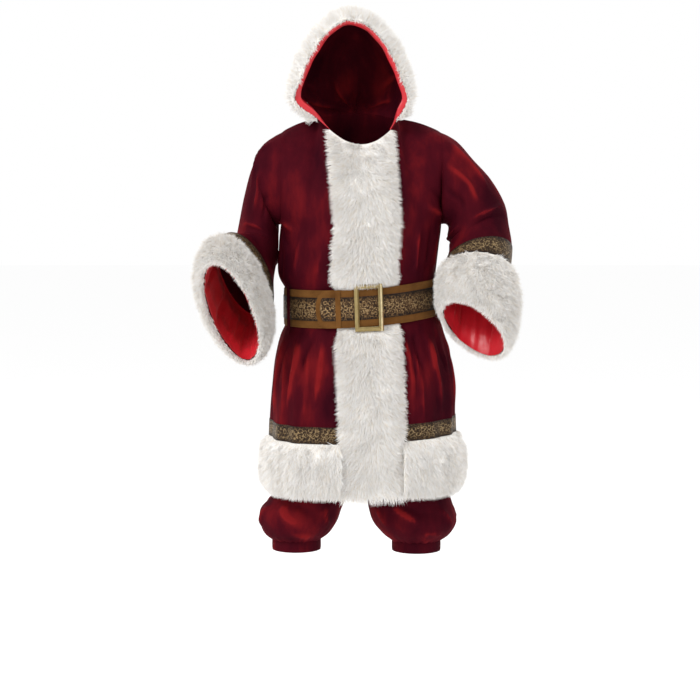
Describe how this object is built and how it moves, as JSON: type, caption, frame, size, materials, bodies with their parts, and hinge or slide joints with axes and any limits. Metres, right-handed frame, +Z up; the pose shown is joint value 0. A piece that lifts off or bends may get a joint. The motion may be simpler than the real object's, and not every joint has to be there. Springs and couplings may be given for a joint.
{
  "type": "santa suit",
  "caption": "Worn santa suit, hollow and posed: hooded velvet coat trimmed with long fur and brocade, knee trousers gathered into bands, and a wide buckled belt.",
  "frame": {"origin": "base of the neck, at the middle of the neckline, where the wearer's shoulders carry the coat", "axes": "+Z up, the suit's front towards -Y, and the wearer's left towards +X"},
  "size_m": [0.8827, 0.5491, 1.5021],
  "materials": {
    "velvet": "deep wine-red pile velvet with soft highlights along its folds",
    "fur": "long white faux fur, lightly cream in its depth",
    "satin": "bright red satin facing with a soft gloss",
    "brocade": "antique gold, grey and black metallic brocade ribbon",
    "leather": "brown suede with rubbed, lighter edges",
    "brass": "antique brass, darkened in its corners"
  },
  "bodies": {
    "root": {"belt_loop_left": "velvet", "belt_loop_right": "velvet", "coat_back": "velvet", "coat_front_left": "velvet", "coat_front_right": "velvet", "hood_left": "velvet", "hood_right": "velvet", "knee_band_left": "velvet", "knee_band_right": "velvet", "sleeve_left": "velvet", "sleeve_right": "velvet", "trouser_leg_left": "velvet", "trouser_leg_right": "velvet", "trouser_waistband": "velvet", "cuff_fur_left": "fur", "cuff_fur_right": "fur", "front_fur": "fur", "hem_fur_back": "fur", "hem_fur_left": "fur", "hem_fur_right": "fur", "hood_fur": "fur", "cuff_facing_left": "satin", "cuff_facing_right": "satin", "hood_facing": "satin", "belt_ribbon": "brocade", "belt_tongue_ribbon": "brocade", "cuff_brocade_left": "brocade", "cuff_brocade_right": "brocade", "hem_brocade": "brocade", "belt_keeper": "leather", "belt_strap": "leather", "belt_tongue": "leather", "belt_buckle": "brass", "buckle_rod": "brass"}
  },
  "joints": []
}
